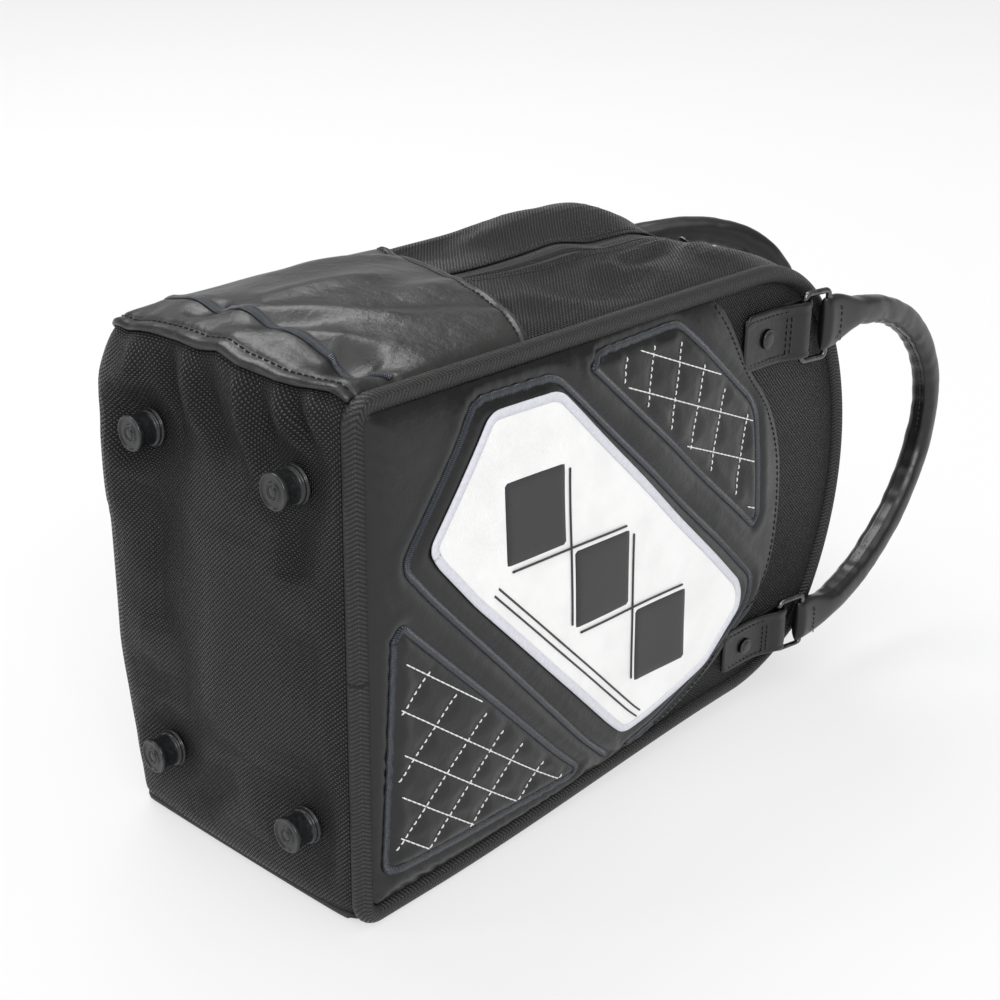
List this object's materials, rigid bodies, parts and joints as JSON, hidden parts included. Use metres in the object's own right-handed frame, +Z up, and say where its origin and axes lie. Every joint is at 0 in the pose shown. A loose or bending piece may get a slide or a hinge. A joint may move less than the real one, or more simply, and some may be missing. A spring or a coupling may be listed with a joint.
{
  "type": "golf shoe bag",
  "caption": "Soft arch-topped shoe bag on its side, with a zip over the crown, a padded front overlay, base feet and ringed loop handles.",
  "frame": {"origin": "middle of the bag's box, at the height of the surface that the bag lies on", "axes": "+X from the base with its feet to the crown and handles, +Y from the decorated front face to the back face, +Z up from the narrow side that the bag lies on"},
  "size_m": [0.4488, 0.1746, 0.23],
  "materials": {
    "nylon": "black ballistic nylon with a coarse basket weave",
    "leather": "black matte coated leather-like fabric",
    "patch_fabric": "white smooth coated fabric",
    "zip_fabric": "black woven tape and nylon coil",
    "foot_plastic": "black moulded plastic, satin gloss",
    "board_plastic": "matte stiffener board",
    "steel": "plain steel",
    "gunmetal": "dark gunmetal plating",
    "rivet_cap": "black satin paint"
  },
  "bodies": {
    "shell": {"base_panel": "nylon", "base_board": "board_plastic", "foot_1": "foot_plastic", "foot_2": "foot_plastic", "foot_3": "foot_plastic", "foot_4": "foot_plastic", "foot_washer_1": "steel", "foot_washer_2": "steel", "foot_washer_3": "steel", "foot_washer_4": "steel", "foot_screw_1": "steel", "foot_screw_2": "steel", "foot_screw_3": "steel", "foot_screw_4": "steel", "side_panel_floor": "leather", "side_panel_upper": "leather", "gusset_back": "nylon", "back_panel": "nylon", "front_panel_lower": "nylon", "front_overlay_lower": "leather", "patch_lower": "patch_fabric", "welt_lower": "nylon", "zip_tape_back": "zip_fabric", "zip_coil_back": "zip_fabric", "back_tab_upper": "leather", "back_tab_floor": "leather", "back_rivet_upper": "rivet_cap", "back_rivet_floor": "rivet_cap"},
    "front_flap": {"front_panel_upper": "nylon", "front_overlay_upper": "leather", "patch_upper": "patch_fabric", "welt_upper": "nylon", "gusset_front": "nylon", "zip_tape_front": "zip_fabric", "zip_coil_front": "zip_fabric", "front_tab_upper": "leather", "front_tab_floor": "leather", "front_rivet_upper": "rivet_cap", "front_rivet_floor": "rivet_cap"},
    "front_rings": {"front_ring_upper": "gunmetal", "front_ring_floor": "gunmetal"},
    "front_handle": {"front_handle": "leather"},
    "back_rings": {"back_ring_upper": "gunmetal", "back_ring_floor": "gunmetal"},
    "back_handle": {"back_handle": "leather"},
    "upper_slider": {"zip_slider_upper": "gunmetal"},
    "crown_slider": {"zip_slider_crown": "gunmetal"},
    "upper_pull": {"zip_pull_upper": "gunmetal"},
    "crown_pull": {"zip_pull_crown": "gunmetal"}
  },
  "joints": [
    {"name": "flap_hinge", "type": "hinge", "parent": "shell", "child": "front_flap", "pos_m": [-0.07397, -0.076, 0.115], "axis": [0, 0, -1], "range_deg": [0, 50]},
    {"name": "front_ring_hinge", "type": "hinge", "parent": "front_flap", "child": "front_rings", "pos_m": [0.07553, -0.0801, 0.115], "axis": [0, 0, -1], "range_deg": [0, 80]},
    {"name": "front_handle_hinge", "type": "hinge", "parent": "front_rings", "child": "front_handle", "pos_m": [0.09178, -0.08296, 0.115], "axis": [0, 0, -1], "range_deg": [0, 100]},
    {"name": "back_ring_hinge", "type": "hinge", "parent": "shell", "child": "back_rings", "pos_m": [0.09103, 0.0761, 0.115], "axis": [0, 0, 1], "range_deg": [0, 70]},
    {"name": "back_handle_hinge", "type": "hinge", "parent": "back_rings", "child": "back_handle", "pos_m": [0.10654, 0.08174, 0.115], "axis": [0, 0, 1], "range_deg": [0, 120]},
    {"name": "upper_slider_travel", "type": "hinge", "parent": "front_flap", "child": "upper_slider", "pos_m": [0.04348, -0.076, 0.155], "axis": [0, -1, 0], "range_deg": [0, 41]},
    {"name": "crown_slider_travel", "type": "hinge", "parent": "front_flap", "child": "crown_slider", "pos_m": [-0.01997, -0.076, 0.115], "axis": [0, 1, 0], "range_deg": [0, 66]},
    {"name": "upper_pull_hinge", "type": "hinge", "parent": "upper_slider", "child": "upper_pull", "pos_m": [0.09717, 0, 0.21158], "axis": [0, 1, 0], "range_deg": [0, 150]},
    {"name": "crown_pull_hinge", "type": "hinge", "parent": "crown_slider", "child": "crown_pull", "pos_m": [0.10597, 0, 0.20188], "axis": [0, -1, 0], "range_deg": [0, 150]}
  ]
}
